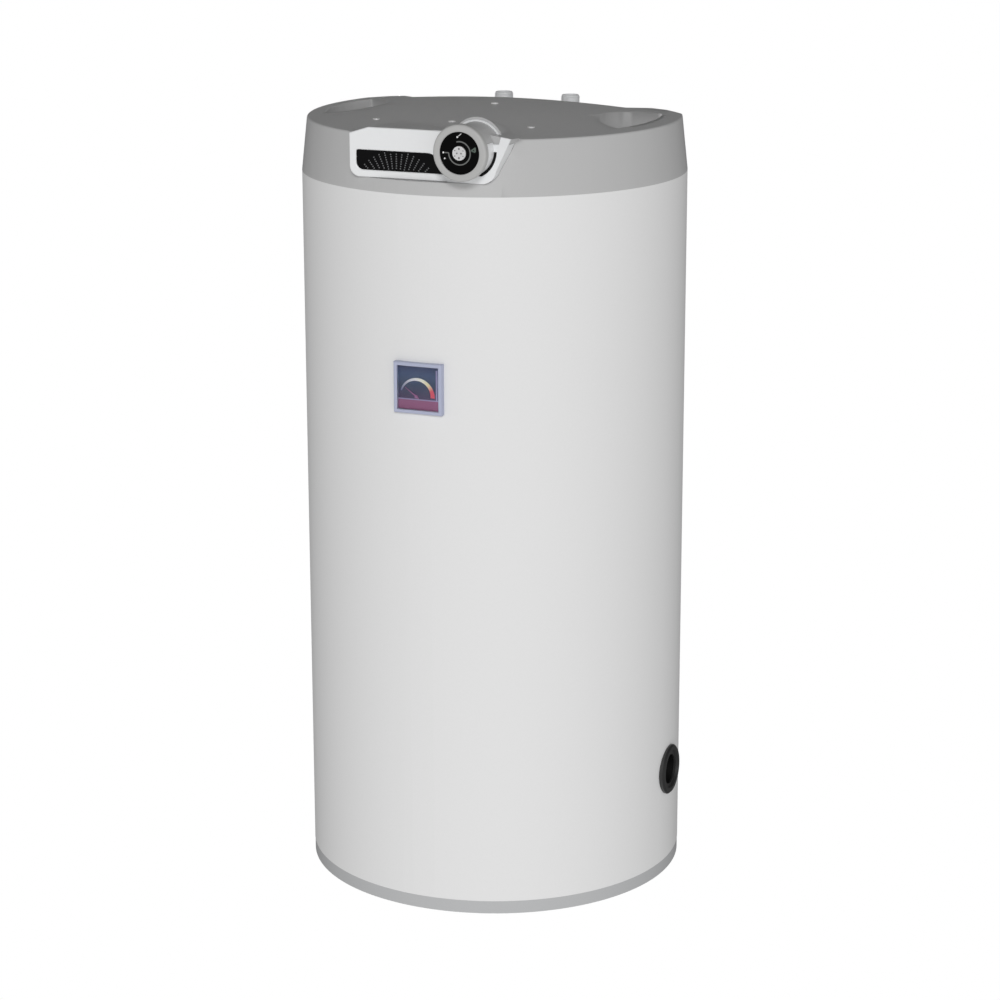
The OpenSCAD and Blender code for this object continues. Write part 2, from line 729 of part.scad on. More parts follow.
module top_cap() {
    color([0.72, 0.72, 0.72]) difference() {
        union() {
            difference() {
                union() { cap_solid(0); raised_outside(); }
                bay(0, bay_z);
                difference() {
                    union() { cap_solid(cap_wall); raised_inside(); }
                    bay(bay_wall, bay_z - cap_wall);
                    both_sides() grip(cap_wall, cup_z - cap_wall);
                    screw_bosses(boss_r, 8, 1);
                    below(panel_seam) slab_y(panel_y - 60, skirt_back) polygon(panel_outline(-pass_gap - cap_wall));
                }
            }
            difference() {
                pin(0, 0, jacket_ri - pass_gap, cap_z - 8, cap_z + 3);
                pin(0, 0, jacket_ri - 3.2, cap_z - 9, cap_z + 4);
            }
        }
        both_sides() grip(0, cup_z);
        panel_cut();
        hood_trim_shape(0);
        screw_bosses(screw_r, 9, -5);
        for (p = screw_spots) pin(p[0], p[1], screw_head_r + 0.5, crown_z(norm(p) + boss_r) - 1, rim_z + 40);
        pipe_places() pin(0, 0, pipe_r + 3, bay_z - 10, bay_z + 1);
        bar_y(gland_x, gland_z, gland_r, bay_y - 10, bay_y + 1);
    }
}

module cap_posts() {
    color([0.55, 0.56, 0.58]) for (p = screw_spots) difference() {
        pin(p[0], p[1], post_r, norm(p) < flange_r ? centre_post_z : foam_top, crown_z(norm(p)) - 8);
        pin(p[0], p[1], screw_r, crown_z(norm(p)) - 22, crown_z(norm(p)));
    }
}

module cap_screws() {
    color([0.80, 0.80, 0.80]) for (p = screw_spots) {
        seat = crown_z(norm(p) + boss_r) - 1;
        pin(p[0], p[1], screw_r - 0.1, crown_z(norm(p)) - 21, seat + 0.5);
        difference() {
            pin(p[0], p[1], screw_head_r, seat, seat + 2.4);
            translate([p[0], p[1], seat + 1.2]) for (a = [0, 90]) rotate([0, 0, a])
                box([-3, -0.6, 0], [3, 0.6, 3]);
        }
    }
}

// ---- control panel and knob ----

module window_outline(g) {
    left = -window_left - g;
    low = window_z - g;
    high = window_z + window_h + g;
    polygon(concat(arc(left + 10, low + 10, 10, 180, 270, 6), [[knob_x, low], [knob_x, low + 9 + 2 * g]],
        [[25 + g, low + 9 + 2 * g]], arc(9 + g, high - 16, 16, 0, 90, 8),
        arc(left + 2.5, high - 2.5, 2.5, 90, 180, 4)));
    intersection() {
        translate([knob_x, knob_z]) circle(r = groove_r + g);
        translate([knob_x - 60, low]) square([120, window_top + g - low]);
    }
}

module control_panel() {
    color([0.93, 0.93, 0.93]) {
        difference() {
            union() {
                slab_y(panel_y, panel_back) polygon(panel_outline(0));
                below(panel_seam) slab_y(panel_back - 1, skirt_back) difference() {
                    polygon(panel_outline(0));
                    polygon(panel_outline(2.2));
                }
                bracket_screw_places(4, panel_back - 1, bracket_y);
            }
            slab_y(panel_y - 1, panel_back) window_outline(0);
            above(collar_seam) bar_y(knob_x, knob_z, collar_r + pass_gap, panel_y - 1, skirt_back);
            translate([0, 0, panel_seam + pass_gap]) slab_y(panel_y - 1, panel_back + 1) polygon(cheek);
            bar_y(knob_x, knob_z, spindle_r + spindle_gap, panel_y - 1, panel_back + 1);
            bracket_screw_places(1.5, panel_back + 2, bracket_y + 1);
        }
        below(collar_seam - pass_gap) difference() {
            bar_y(knob_x, knob_z, collar_r, collar_front, panel_y + 0.6);
            bar_y(knob_x, knob_z, collar_ri, collar_front - 1, panel_y + 1);
        }
    }
}

module scale_window() {
    color([0.05, 0.05, 0.06]) difference() {
        union() {
            slab_y(window_front, panel_back) window_outline(-0.1);
            slab_y(panel_back, panel_back + window_lip_t) window_outline(window_lip);
        }
        bar_y(knob_x, knob_z, spindle_r + spindle_gap, window_front - 1, panel_back + window_lip_t + 1);
    }
}

module hood_trim_shape(g) {
    above(rim_z + 0.7 - g) difference() {
        bar_y(knob_x, knob_z, collar_r + trim_w + g, hood_y - trim_t, hood_y);
        bar_y(knob_x, knob_z, collar_r - g, hood_y - trim_t - 1, hood_y + 1);
    }
}
module hood_trim() { color([0.95, 0.95, 0.95]) hood_trim_shape(0); }

module knob_body() {
    skirt = knob_r - 3;
    boss = 9;
    floor_t = 4;
    wall = [[dial_r, 0], [knob_r - 1.5, 0], [knob_r, 1.5], [knob_r, knob_t], [skirt, knob_t],
        [skirt, floor_t + 2.5], [boss, floor_t + 2.5], [boss, knob_t + 9], [spindle_r, knob_t + 9],
        [spindle_r, knob_t - 2], [0, knob_t - 2], [0, floor_t], [dial_r, floor_t]];
    color([0.70, 0.70, 0.69]) translate([knob_x, knob_front, knob_z]) rotate([-90, 0, 0])
        rotate_extrude() polygon(wall);
}

module knob_dial() {
    color([0.04, 0.04, 0.04]) bar_y(knob_x, knob_z, dial_r, knob_front + 1.4, knob_front + 4);
}

module knob_hub() {
    color([0.80, 0.80, 0.80]) difference() {
        bar_y(knob_x, knob_z, 9, knob_front - 0.4, knob_front + 1.4);
        for (a = [45, 135]) translate([knob_x, knob_front - 0.5, knob_z]) rotate([0, a, 0])
            box([-6, 0, -1], [6, 0.9, 1]);
    }
}

// ---- thermometer ----

module gauge_square(w, y0, y1) { box([-w / 2, y0, gauge_z - w / 2], [w / 2, y1, gauge_z + w / 2]); }

module thermometer_frame() {
    color([0.66, 0.67, 0.75]) difference() {
        gauge_square(gauge_w, gauge_y, -jacket_r + 5);
        gauge_square(gauge_in, gauge_y - 1, gauge_floor);
        jacket_core(gauge_z - gauge_w, gauge_z + gauge_w);
        bar_y(needle_x, needle_z, movement_r - 4, gauge_y, -jacket_r + 6);
    }
}

module thermometer_face() {
    color([0.18, 0.22, 0.36]) difference() {
        gauge_square(gauge_in, face_front, gauge_floor);
        bar_y(needle_x, needle_z, needle_shaft_r + 0.2, face_front - 1, gauge_floor + 1);
    }
}

module thermometer_lens() {
    color([0.8, 0.85, 0.9, 0.3]) gauge_square(gauge_in, lens_front, lens_front + lens_t);
}

module thermometer_needle() {
    color([0.85, 0.55, 0.68]) {
        translate([needle_x, needle_y, needle_z]) rotate([0, -needle_turn, 0]) rotate([90, 0, 0])
            linear_extrude(0.6) polygon([[-4, -0.9], [needle_l, -0.3], [needle_l, 0.3], [-4, 0.9]]);
        bar_y(needle_x, needle_z, 2.2, needle_y - 1, needle_y);
        bar_y(needle_x, needle_z, needle_shaft_r, needle_y - 0.5, gauge_floor + 6);
    }
}

module thermometer_stem() {
    color([0.70, 0.71, 0.72]) difference() {
        union() {
            bar_y(needle_x, needle_z, movement_r - 4, gauge_floor, -jacket_ri + 1);
            bar_y(needle_x, needle_z, movement_r, -jacket_ri + 1, movement_back);
            bar_y(needle_x, needle_z, stem_r, movement_back - 1, -pocket_in - 6);
        }
        bar_y(needle_x, needle_z, needle_shaft_r + run_gap, gauge_floor - 1, gauge_floor + 7);
    }
}

module thermometer_pocket() {
    color([0.72, 0.55, 0.38]) difference() {
        bar_y(needle_x, needle_z, pocket_r, movement_back, -pocket_in);
        bar_y(needle_x, needle_z, stem_r, movement_back - 1, -pocket_in - 6);
    }
}

// ---- side port ----

module side_port_socket() {
    color([0.35, 0.38, 0.42]) difference() {
        bar_x(0, port_z, socket_r, tank_r - 10, socket_end);
        bar_x(0, port_z, port_r, 0, jacket_r);
        pin(0, 0, tank_r, 0, barrel_top);
    }
}

module side_port_plug() {
    color([0.06, 0.06, 0.06]) difference() {
        bar_x(0, port_z, port_r, tank_r + 4, socket_end - 8);
        translate([socket_end - 16, -7, port_z - 7]) cube([20, 14, 14]);
    }
}

module side_port_rosette() {
    dish = [[port_r - 1.5, 0], [rosette_r, -7], [rosette_r, 2.5], [rosette_r - 2.5, rosette_t],
        [rosette_r - 8, rosette_t], [rosette_r - 10, 2], [port_r - 1.5, 2]];
    color([0.07, 0.07, 0.07]) difference() {
        translate([jacket_r, 0, port_z]) rotate([0, 90, 0]) rotate_extrude() polygon(dish);
        jacket_core(0, cap_z);
    }
}

outer_jacket();
jacket_seam_strip();
rating_plate();
base_trim_ring();
base_plate();
support_legs();
insulation_foam();
tank_barrel();
tank_top_dome();
tank_bottom_dome();
heating_coil();
coil_flow_pipe();
coil_return_pipe();
hot_outlet_pipe();
cold_inlet_pipe();
dip_tube();
pipe_grommets();
flange_ring();
flange_gasket();
flange_cover();
flange_bolts();
anode_plug();
anode_rod();
sensor_well();
thermostat_sensor();
thermostat_body();
thermostat_bracket();
thermostat_nut();
bracket_screws();
knob_spindle();
terminal_block();
wiring_loom();
cable_gland();
gland_nut();
top_cap();
cap_posts();
cap_screws();
control_panel();
scale_window();
hood_trim();
knob_body();
knob_dial();
knob_hub();
thermometer_frame();
thermometer_face();
thermometer_lens();
thermometer_needle();
thermometer_stem();
thermometer_pocket();
side_port_socket();
side_port_plug();
side_port_rosette();
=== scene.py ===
"""Floor-standing tank water heater: its surfaces, printed marks, threads and studio stage."""

import json
import math

import bmesh
import bpy
from bpy.props import FloatProperty, FloatVectorProperty, IntProperty, PointerProperty
from mathutils import Matrix, Vector


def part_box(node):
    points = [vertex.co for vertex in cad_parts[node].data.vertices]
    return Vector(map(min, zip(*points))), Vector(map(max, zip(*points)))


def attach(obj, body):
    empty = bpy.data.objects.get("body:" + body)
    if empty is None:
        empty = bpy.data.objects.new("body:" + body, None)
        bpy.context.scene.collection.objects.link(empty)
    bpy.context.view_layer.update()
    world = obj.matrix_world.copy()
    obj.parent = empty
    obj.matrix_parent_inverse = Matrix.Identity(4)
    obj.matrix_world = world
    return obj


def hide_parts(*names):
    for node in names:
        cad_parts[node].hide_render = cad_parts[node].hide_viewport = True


bl_info = {
    "name": "Tank Water Heater",
    "version": (1, 0, 0),
    "blender": (4, 5, 0),
    "location": "View3D > Sidebar > Heater",
    "description": "Builds the visible surfaces of a tank water heater around its packed model",
    "category": "Add Mesh",
}

MM = 0.001
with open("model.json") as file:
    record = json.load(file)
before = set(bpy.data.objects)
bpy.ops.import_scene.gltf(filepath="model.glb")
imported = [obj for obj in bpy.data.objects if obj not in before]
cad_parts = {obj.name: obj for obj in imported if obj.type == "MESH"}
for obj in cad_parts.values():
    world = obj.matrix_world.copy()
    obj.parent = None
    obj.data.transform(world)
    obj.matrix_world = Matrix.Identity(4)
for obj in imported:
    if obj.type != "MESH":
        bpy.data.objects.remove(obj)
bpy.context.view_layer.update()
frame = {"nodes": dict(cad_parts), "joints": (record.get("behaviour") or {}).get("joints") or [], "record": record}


def linear(hex_code):
    """An sRGB hex colour as linear red, green, blue and alpha."""
    parts = [int(hex_code[i : i + 2], 16) / 255 for i in (1, 3, 5)]
    return (*[c / 12.92 if c <= 0.04045 else ((c + 0.055) / 1.055) ** 2.4 for c in parts], 1.0)


def middle(node):
    low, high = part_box(node)
    return (low + high) / 2


def half_width(node):
    low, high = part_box(node)
    return (high.x - low.x) / 2


# ---- settings ----


def length(name, text, mm):
    return FloatProperty(
        name=name, description=text, default=mm * MM, min=0, unit="LENGTH", precision=5
    )


def degrees(name, text, value):
    return FloatProperty(
        name=name, description=text, default=math.radians(value), subtype="ANGLE"
    )


def strength(name, text, value):
    return FloatProperty(name=name, description=text, default=value, min=0)


def tone(name, text, hex_code):
    return FloatVectorProperty(
        name=name, description=text, default=linear(hex_code)[:3], size=3, min=0, max=1,
        subtype="COLOR",
    )


class HeaterSizes(bpy.types.PropertyGroup):
    edge: length("Moulded edge", "Round on the edges of moulded pieces", 0.8)
    panel_round: length("Panel round", "Round on the front edges of the control panel", 2.0)
    frame_round: length("Frame round", "Slope on the edges of the thermometer's frame", 1.8)
    rim_round: length("Rim round", "Round on the cap's rim", 1.6)
    metal_edge: length("Metal edge", "Round on the edges of metal pieces", 0.3)
    knob_round: length("Knob round", "Round on the front edge of the knob", 3.2)
    thread_pitch: length("Thread pitch", "Distance between two turns of the pipe thread", 1.814)
    thread_depth: length("Thread depth", "Height of the pipe thread's ridges", 1.16)
    ink: length("Ink", "How far printed marks stand up", 0.12)
    ray_step: length("Dot step", "Distance between the dots along a ray of the window", 3.0)
    ray_dot: length("Dot", "Radius of the dots in the window", 0.95)
    ray_count: IntProperty(
        name="Rays", description="Rays of dots in the window", default=13, min=3, max=25
    )


class HeaterTones(bpy.types.PropertyGroup):
    jacket: tone("Jacket", "Powder coat of the jacket", "#e9e9e9")
    cap: tone("Cap", "Grey plastic of the cap", "#c0c0c0")
    base: tone("Base ring", "Grey plastic of the base ring", "#bdbebf")
    panel: tone("Panel", "White plastic of the control panel", "#f0f1f2")
    knob: tone("Knob", "Grey plastic of the knob", "#b9b9b8")
    gauge: tone("Thermometer frame", "Lilac-grey plastic of the thermometer's frame", "#b4b9d0")
    needle: tone("Needle", "Lacquer of the thermometer's needle", "#a56a9c")


class HeaterStage(bpy.types.PropertyGroup):
    distance: length("Distance", "Camera to the axis", 3854.5)
    height: length("Height", "Camera over the floor", 1560.1)
    around: degrees("Around", "Turn of the camera's place round the axis", 22.2)
    pan: degrees("Pan", "Camera's heading", 22.107)
    tilt: degrees("Tilt", "How far the camera looks down", 15.193)
    roll: degrees("Roll", "Turn of the camera about its view", -0.089)
    lens: FloatProperty(
        name="Lens", description="Focal length in millimetres", default=102.31, min=10,
        unit="CAMERA",
    )
    key: strength("Key light", "Strength of the front light", 1.15)
    fill: strength("Back light", "Strength of the level light from behind", 0.9)
    horizon: strength("Horizon", "Glow of the studio walls", 0.78)
    zenith: strength("Ceiling", "Glow of the studio ceiling", 0.02)
    mirrored: strength("Mirrored", "Share of the glow that is reflected", 0.3)
    ahead: strength("Ahead", "Share of the glow on the camera's side", 1.11)
    behind: strength("Behind", "Share of the glow on the far side", 0.45)
    below: strength("Below", "Glow from under the horizon", 0.6)


class HeaterSettings(bpy.types.PropertyGroup):
    sizes: PointerProperty(type=HeaterSizes)
    tones: PointerProperty(type=HeaterTones)
    stage: PointerProperty(type=HeaterStage)


# ---- material building ----


def add(tree, kind, settings=None, links=None):
    """Adds one node, sets its properties, sockets and ramp stops, and links its inputs."""
    node = tree.nodes.new(kind)
    for key, value in (settings or {}).items():
        if key == "stops":
            elements = node.color_ramp.elements
            elements[0].position, elements[0].color = value[0]
            elements[1].position, elements[1].color = value[-1]
            for place, colour in value[1:-1]:
                elements.new(place).color = colour
        elif isinstance(key, int) or key in node.inputs:
            node.inputs[key].default_value = value
        else:
            setattr(node, key, value)
    for key, source in (links or {}).items():
        tree.links.new(source, node.inputs[key])
    return node


def blank(name):
    material = bpy.data.materials.new(name)
    material.use_nodes = True
    material.node_tree.nodes.clear()
    return material, material.node_tree


def shade(colour, share=1):
    """A share of a linear colour, with alpha."""
    return tuple(c * share for c in colour[:3]) + (1.0,)


def textured(name, colour, grain_mm, bump_mm, spread, shader, stretch=(1, 1, 1)):
    """A surface whose tone and relief drift over grain_mm, by a spread of its own colour."""
    material, tree = blank(name)
    place = add(tree, "ShaderNodeTexCoord")
    stretched = add(
        tree, "ShaderNodeMapping", {"Scale": stretch}, {"Vector": place.outputs["Object"]}
    )
    noise = add(
        tree, "ShaderNodeTexNoise",
        {"Scale": 1 / (grain_mm * MM), "Detail": 3.0, "Roughness": 0.55},
        {"Vector": stretched.outputs["Vector"]},
    )
    tones = add(
        tree, "ShaderNodeValToRGB",
        {"stops": [(0.3, shade(colour, 1 - spread)), (0.7, shade(colour, 1 + spread))]},
        {"Fac": noise.outputs["Fac"]},
    )
    relief = add(
        tree, "ShaderNodeBump", {"Distance": bump_mm * MM, "Strength": 0.6},
        {"Height": noise.outputs["Fac"]},
    )
    body = add(
        tree, "ShaderNodeBsdfPrincipled", shader,
        {"Base Color": tones.outputs["Color"], "Normal": relief.outputs["Normal"]},
    )
    add(tree, "ShaderNodeOutputMaterial", {}, {"Surface": body.outputs["BSDF"]})
    return material


# Polyester powder coat on sheet steel: satin, with a shallow orange peel about 3 mm across.
def powder_coated_steel(name, colour):
    shader = {"Roughness": 0.5, "IOR": 1.5, "Specular IOR Level": 0.15}
    return textured(name, colour, 3.0, 0.02, 0.006, shader)


# Injection-moulded ABS with a spark-eroded face: satin and very even. The real grit is under
# 0.3 mm, too fine to show, so it is drawn at 1.2 mm.
def moulded_abs(name, colour, roughness=0.45):
    shader = {"Roughness": roughness, "IOR": 1.53, "Specular IOR Level": 0.2}
    return textured(name, colour, 1.2, 0.03, 0.015, shader)


# Polished ABS, as the panel's white: a clear reflection softened by slight waves of the mould.
def polished_abs(name, colour):
    return textured(name, colour, 9.0, 0.02, 0.006, {"Roughness": 0.28, "IOR": 1.53})


# Smoked acrylic, cast and polished: near black and glossy.
def smoked_acrylic():
    shader = {"Roughness": 0.16, "IOR": 1.49, "Specular IOR Level": 0.3}
    return textured("smoked_acrylic", linear("#060607"), 14.0, 0.01, 0.15, shader)


# Screen-printing ink: matt, and a little uneven where the mesh leaves it.
def printing_ink(name, hex_code):
    return textured(name, linear(hex_code), 0.5, 0.01, 0.06, {"Roughness": 0.6, "IOR": 1.5})


# Black polymer, moulded or extruded, as polyethylene, PVC or rubber: a dull, faintly blotchy sheen.
def black_polymer(name, hex_code, roughness, shine=0.5):
    shader = {"Roughness": roughness, "IOR": 1.5, "Specular IOR Level": shine}
    return textured(name, linear(hex_code), 1.6, 0.03, 0.12, shader)


# Dull white zinc plating on turned or pressed steel: fine streaks along the turning.
def zinc_plated_steel(name, hex_code):
    shader = {"Metallic": 0.2, "Roughness": 0.45}
    return textured(name, linear(hex_code), 1.2, 0.01, 0.08, shader, (1, 1, 6))


# Vitreous enamel primer on the tank, fired on: dark and slightly pitted.
def enamelled_steel():
    shader = {"Roughness": 0.35, "IOR": 1.5}
    return textured("enamelled_steel", linear("#5b636e"), 2.5, 0.05, 0.1, shader)


# Foamed polyurethane: open skin with cells a few millimetres wide.
def polyurethane_foam():
    shader = {"Roughness": 0.9, "IOR": 1.4}
    return textured("polyurethane_foam", linear("#e8d9b0"), 4.0, 0.5, 0.12, shader)


# Turned or drawn soft metal, with marks along the drawing direction.
def drawn_metal(name, hex_code, roughness):
    shader = {"Metallic": 1.0, "Roughness": roughness}
    return textured(name, linear(hex_code), 0.9, 0.01, 0.08, shader, (1, 1, 4))


# Clear acrylic sheet over the thermometer, polished: all but invisible, with waves 30 mm long.
def clear_acrylic():
    material, tree = blank("clear_acrylic")
    place = add(tree, "ShaderNodeTexCoord")
    wave = add(
        tree, "ShaderNodeTexNoise", {"Scale": 1 / (30 * MM)}, {"Vector": place.outputs["Object"]}
    )
    relief = add(
        tree, "ShaderNodeBump", {"Distance": 0.01 * MM, "Strength": 0.2},
        {"Height": wave.outputs["Fac"]},
    )
    body = add(
        tree, "ShaderNodeBsdfPrincipled",
        {"Base Color": (1, 1, 1, 1), "Roughness": 0.03, "IOR": 1.15, "Transmission Weight": 1.0},
        {"Normal": relief.outputs["Normal"]},
    )
    add(tree, "ShaderNodeOutputMaterial", {}, {"Surface": body.outputs["BSDF"]})
    return material


# Printed card of the thermometer: blue at the top, running to violet at the foot.
def thermometer_card():
    material, tree = blank("thermometer_card")
    low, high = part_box("thermometer_face")
    place = add(tree, "ShaderNodeTexCoord")
    parts = add(tree, "ShaderNodeSeparateXYZ", {}, {"Vector": place.outputs["Object"]})
    share = add(
        tree, "ShaderNodeMapRange", {"From Min": low.z, "From Max": high.z},
        {"Value": parts.outputs["Z"]},
    )
    stops = [
        (0.0, linear("#5a3f66")), (0.35, linear("#494666")), (0.55, linear("#3c4a66")),
        (0.8, linear("#45587c")), (1.0, linear("#2c3358")),
    ]
    tones = add(tree, "ShaderNodeValToRGB", {"stops": stops}, {"Fac": share.outputs["Result"]})
    body = add(
        tree, "ShaderNodeBsdfPrincipled", {"Roughness": 0.45, "IOR": 1.5},
        {"Base Color": tones.outputs["Color"]},
    )
    add(tree, "ShaderNodeOutputMaterial", {}, {"Surface": body.outputs["BSDF"]})
    return material


# Printed temperature band: violet at the left, through white and yellow, to red at the right.
def temperature_ink(pivot):
    material, tree = blank("temperature_ink")
    place = add(tree, "ShaderNodeTexCoord")
    moved = add(
        tree, "ShaderNodeMapping", {"Location": -pivot}, {"Vector": place.outputs["Object"]}
    )
    turned = add(
        tree, "ShaderNodeMapping", {"Rotation": (math.radians(-90), 0, 0)},
        {"Vector": moved.outputs["Vector"]},
    )
    wheel = add(
        tree, "ShaderNodeTexGradient", {"gradient_type": "RADIAL"},
        {"Vector": turned.outputs["Vector"]},
    )
    stops = [
        (0.0, linear("#d9505f")), (0.56, linear("#e0566a")), (0.62, linear("#efe3b4")),
        (0.70, linear("#fffff0")), (0.76, linear("#ffffff")), (0.95, linear("#6f74a3")),
    ]
    tones = add(tree, "ShaderNodeValToRGB", {"stops": stops}, {"Fac": wheel.outputs["Fac"]})
    body = add(
        tree, "ShaderNodeBsdfPrincipled", {"Roughness": 0.5, "IOR": 1.5},
        {"Base Color": tones.outputs["Color"]},
    )
    add(tree, "ShaderNodeOutputMaterial", {}, {"Surface": body.outputs["BSDF"]})
    return material


def make_finishes(tones):
    """One material for each finish named in the record."""
    return {
        "white_painted_steel": powder_coated_steel("powder_coated_steel", shade(tones.jacket)),
        "white_seam": powder_coated_steel("powder_coated_seam", shade(tones.jacket, 0.93)),
        "label_foil": drawn_metal("plain_label_foil", "#d0d1d3", 0.45),
        "grey_cap_plastic": moulded_abs("moulded_grey_abs", shade(tones.cap), 0.36),
        "grey_trim_plastic": moulded_abs("moulded_base_abs", shade(tones.base)),
        "white_panel_plastic": polished_abs("polished_white_abs", shade(tones.panel)),
        "black_gloss_plastic": smoked_acrylic(),
        "knob_grey_plastic": moulded_abs("moulded_knob_abs", shade(tones.knob), 0.4),
        "dial_black": black_polymer("dial_black_abs", "#040404", 0.4, 0.15),
        "hub_grey": moulded_abs("moulded_hub_abs", linear("#d6d6d6")),
        "black_plastic": black_polymer("black_polyethylene", "#262626", 0.35, 0.9),
        "black_rubber": black_polymer("moulded_rubber", "#0c0c0c", 0.7, 0.2),
        "zinc_plated_steel": zinc_plated_steel("zinc_plated_steel", "#f0f1f2"),
        "tank_enamel": enamelled_steel(),
        "foam": polyurethane_foam(),
        "white_tube_plastic": moulded_abs("extruded_polypropylene", linear("#ecebe6")),
        "brass": drawn_metal("turned_brass", "#c9a45c", 0.3),
        "magnesium": drawn_metal("cast_magnesium", "#b4b7ba", 0.6),
        "copper": drawn_metal("drawn_copper", "#c98563", 0.32),
        "cream_plastic": moulded_abs("cream_polyamide", linear("#d9d4c0")),
        "cable_black": black_polymer("pvc_sheath", "#222224", 0.55),
        "screw_steel": zinc_plated_steel("zinc_plated_screws", "#f4f4f4"),
        "gauge_frame": moulded_abs("moulded_lilac_abs", shade(tones.gauge), 0.35),
        "gauge_face": thermometer_card(),
        "clear_lens": clear_acrylic(),
        "needle_pink": polished_abs("lacquered_needle", shade(tones.needle)),
    }


# The materials by finish name, filled in by the finishes operator.
FINISHES = {}


# ---- mesh building ----

WELD = 0.002 * MM  # corners of a CAD mesh nearer than this are one
SPUN_WELD = 0.001 * MM  # the same, for a turned piece
FLAT = math.radians(0.4)  # faces this close to one plane are one
SHARP = math.radians(40)  # edges sharper than this are rounded
NEAR = 0.05 * MM  # a point this close to a plane lies on it


def piece(name, bm, finish, body="heater", stands_for=(), crease=35):
    """Makes an object from a bmesh, smooth but for its creases, riding on a body."""
    mesh = bpy.data.meshes.new(name)
    bm.to_mesh(mesh)
    bm.free()
    mesh.shade_smooth()
    mesh.set_sharp_from_angle(angle=math.radians(crease))
    mesh.materials.append(finish)
    made = bpy.data.objects.new(name, mesh)
    bpy.context.scene.collection.objects.link(made)
    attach(made, body)
    if stands_for:
        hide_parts(*stands_for)
    return made


def merged(node):
    """A copy of a CAD node's mesh with its loose triangles joined and its flat faces made whole."""
    bm = bmesh.new()
    bm.from_mesh(frame["nodes"][node].data)
    bmesh.ops.remove_doubles(bm, verts=bm.verts, dist=WELD)
    bmesh.ops.dissolve_degenerate(bm, edges=bm.edges, dist=WELD)
    bmesh.ops.dissolve_limit(bm, angle_limit=FLAT, verts=bm.verts, edges=bm.edges)
    return bm


def soften(bm, width, where=None):
    """Rounds the sharp edges, or those of them that lie where a test says."""
    sharp = [e for e in bm.edges if len(e.link_faces) == 2 and e.calc_face_angle(0) > SHARP]
    if where:
        sharp = [e for e in sharp if all(where(v.co) for v in e.verts)]
    bmesh.ops.bevel(
        bm, geom=sharp, offset=width, offset_type="OFFSET", affect="EDGES",
        segments=3 if where else 2, profile=0.5, material=-1, clamp_overlap=not where,
    )


def refined(node, width, slot, body="heater", where=None, split_x=None):
    """A CAD node's shape with rounded edges, in its place. Edges across split_x are cut there."""
    bm = merged(node)
    if split_x is not None:
        bmesh.ops.bisect_plane(
            bm, geom=[*bm.verts, *bm.edges, *bm.faces], plane_co=(split_x, 0, 0),
            plane_no=(1, 0, 0),
        )
    if width:
        soften(bm, width, where)
    made = piece(node + "_finished", bm, FINISHES[slot], body, (node,), 30)
    made.modifiers.new("even_shading", "WEIGHTED_NORMAL").keep_sharp = True


def arc(r0, z0, radius, start, end, steps):
    """Outline points on an arc from one angle to another, as (radius, along) pairs."""
    turns = [math.radians(start + (end - start) * i / steps) for i in range(steps + 1)]
    return [(r0 + radius * math.cos(t), z0 + radius * math.sin(t)) for t in turns]


def lathe(outline, matrix, steps=96, closed=True):
    """A (radius, along) outline spun all the way round the local Z axis, then placed."""
    bm = bmesh.new()
    verts = [bm.verts.new((r, 0, z)) for r, z in outline]
    pairs = list(zip(verts, verts[1:])) + ([(verts[-1], verts[0])] if closed else [])
    edges = [bm.edges.new(pair) for pair in pairs]
    bmesh.ops.spin(
        bm, geom=verts + edges, cent=(0, 0, 0), axis=(0, 0, 1), angle=2 * math.pi, steps=steps,
        use_merge=True,
    )
    bmesh.ops.remove_doubles(bm, verts=bm.verts, dist=SPUN_WELD)
    bmesh.ops.recalc_face_normals(bm, faces=bm.faces)
    bmesh.ops.transform(bm, matrix=matrix, verts=bm.verts)
    return bm


def facing_front(x, y, z):
    """Places local Z along +Y, so that an outline starts at the front."""
    return Matrix.Translation((x, y, z)) @ Matrix.Rotation(math.radians(-90), 4, "X")


def add_dot(bm, x, y, z, radius, height, sides=16):
    """A flat printed dot whose back lies at y."""
    bmesh.ops.create_cone(
        bm, cap_ends=True, segments=sides, radius1=radius, radius2=radius, depth=height,
        matrix=Matrix.Translation((x, y - height / 2, z)) @ Matrix.Rotation(math.radians(90), 4, "X"),
    )


def add_bar(bm, start, end, width, y, height):
    """A flat printed bar between two (x, z) points."""
    run = Vector((end[0] - start[0], 0, end[1] - start[1]))
    turn = Matrix.Rotation(-math.atan2(run.z, run.x), 4, "Y")
    centre = Vector(((start[0] + end[0]) / 2, y - height / 2, (start[1] + end[1]) / 2))
    size = Matrix.Diagonal((run.length, height, width, 1))
    bmesh.ops.create_cube(bm, size=1, matrix=Matrix.Translation(centre) @ turn @ size)


